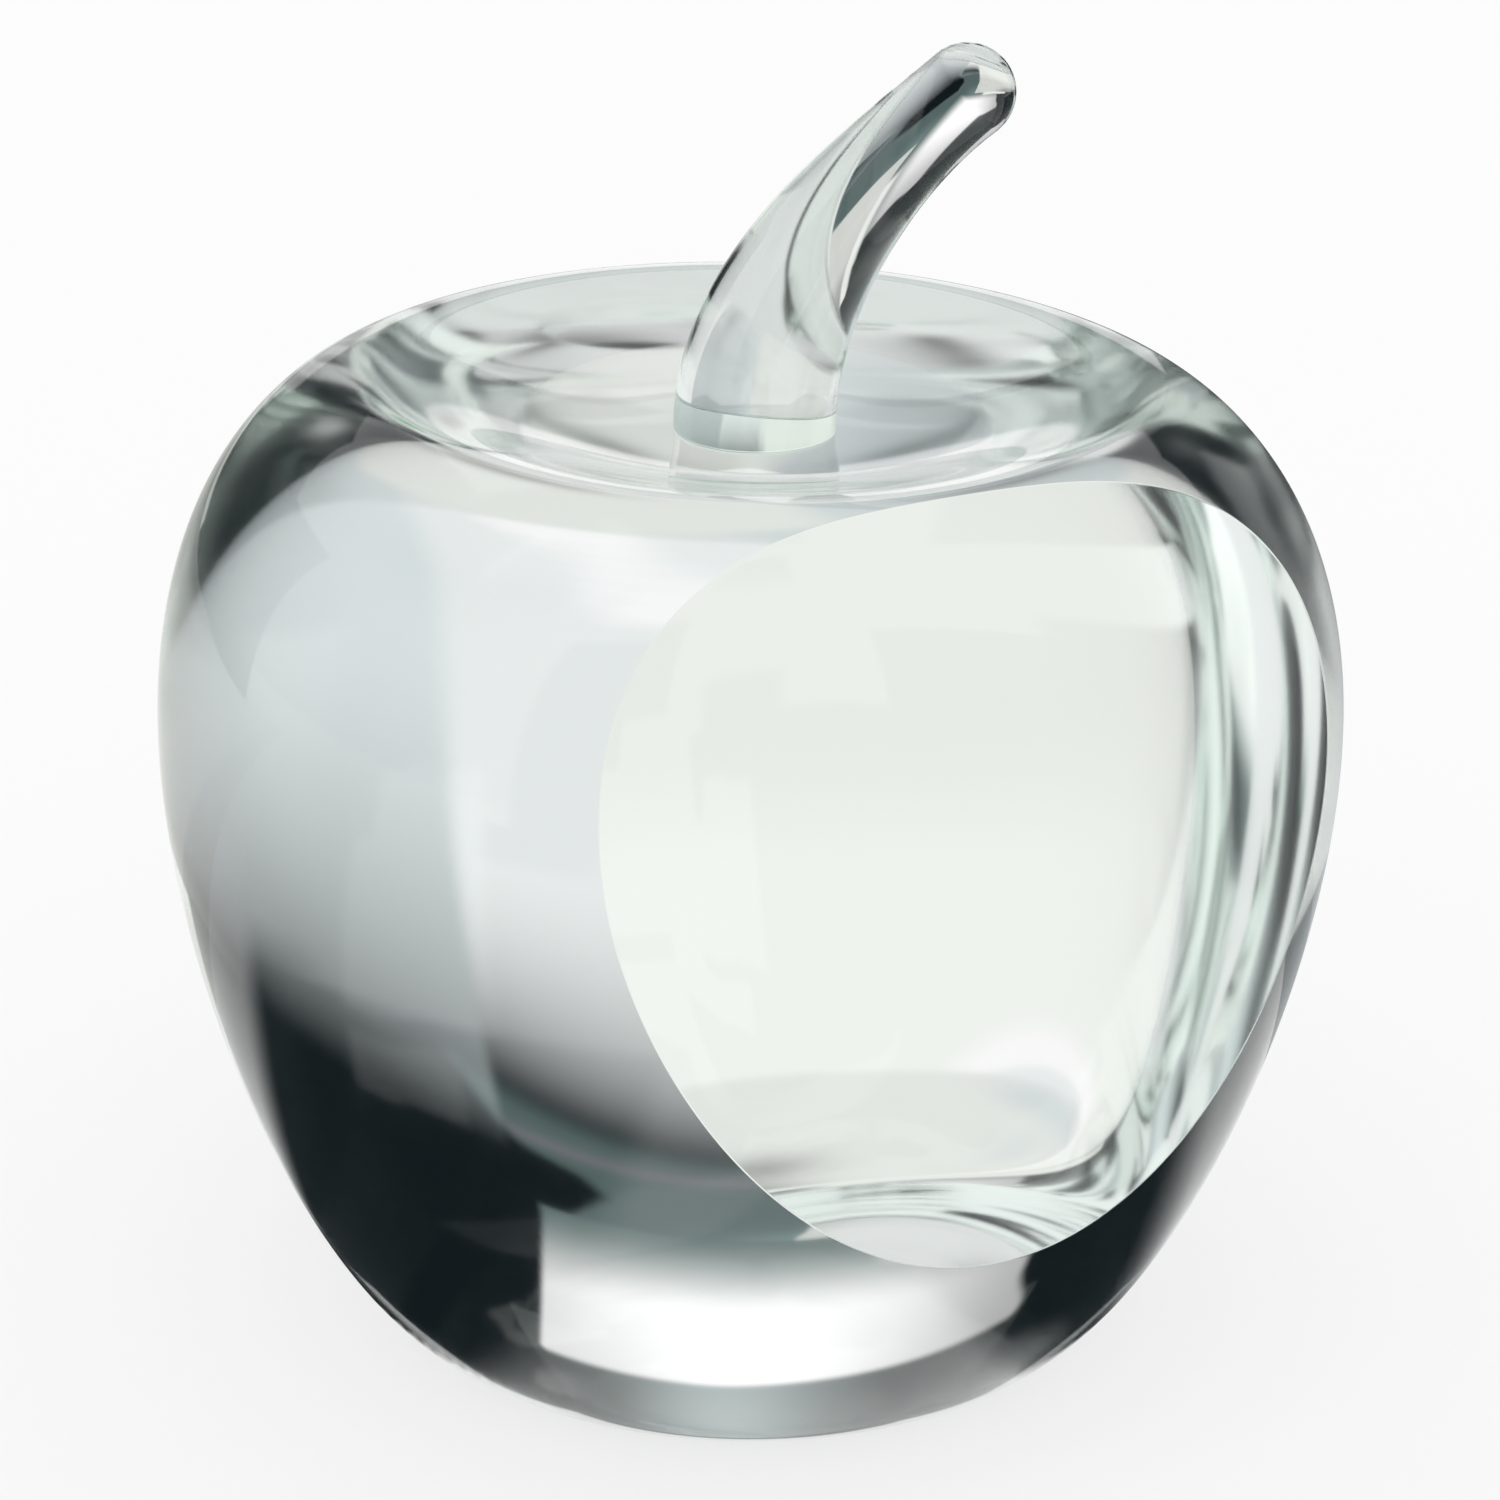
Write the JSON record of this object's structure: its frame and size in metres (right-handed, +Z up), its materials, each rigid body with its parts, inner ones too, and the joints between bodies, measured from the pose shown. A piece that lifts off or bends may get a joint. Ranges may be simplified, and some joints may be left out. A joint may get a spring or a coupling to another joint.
{
  "type": "glass apple paperweight",
  "caption": "Solid clear crystal apple paperweight with a shallow dimple, a bent bonded stem, one flat polished facet and a flat polished base.",
  "frame": {"origin": "centre of the flat base, on the apple's axis", "axes": "+Z up along the apple's axis, the facet faces -Y, and the stem leans towards +X and a little towards -Y"},
  "size_m": [0.08, 0.0751, 0.089],
  "materials": {
    "crystal": "clear polished optical crystal",
    "stem_crystal": "clear fire-polished crystal rod",
    "adhesive": "clear cured adhesive"
  },
  "bodies": {
    "root": {"apple_body": "crystal", "stem_bond": "adhesive", "stem": "stem_crystal"}
  },
  "joints": []
}
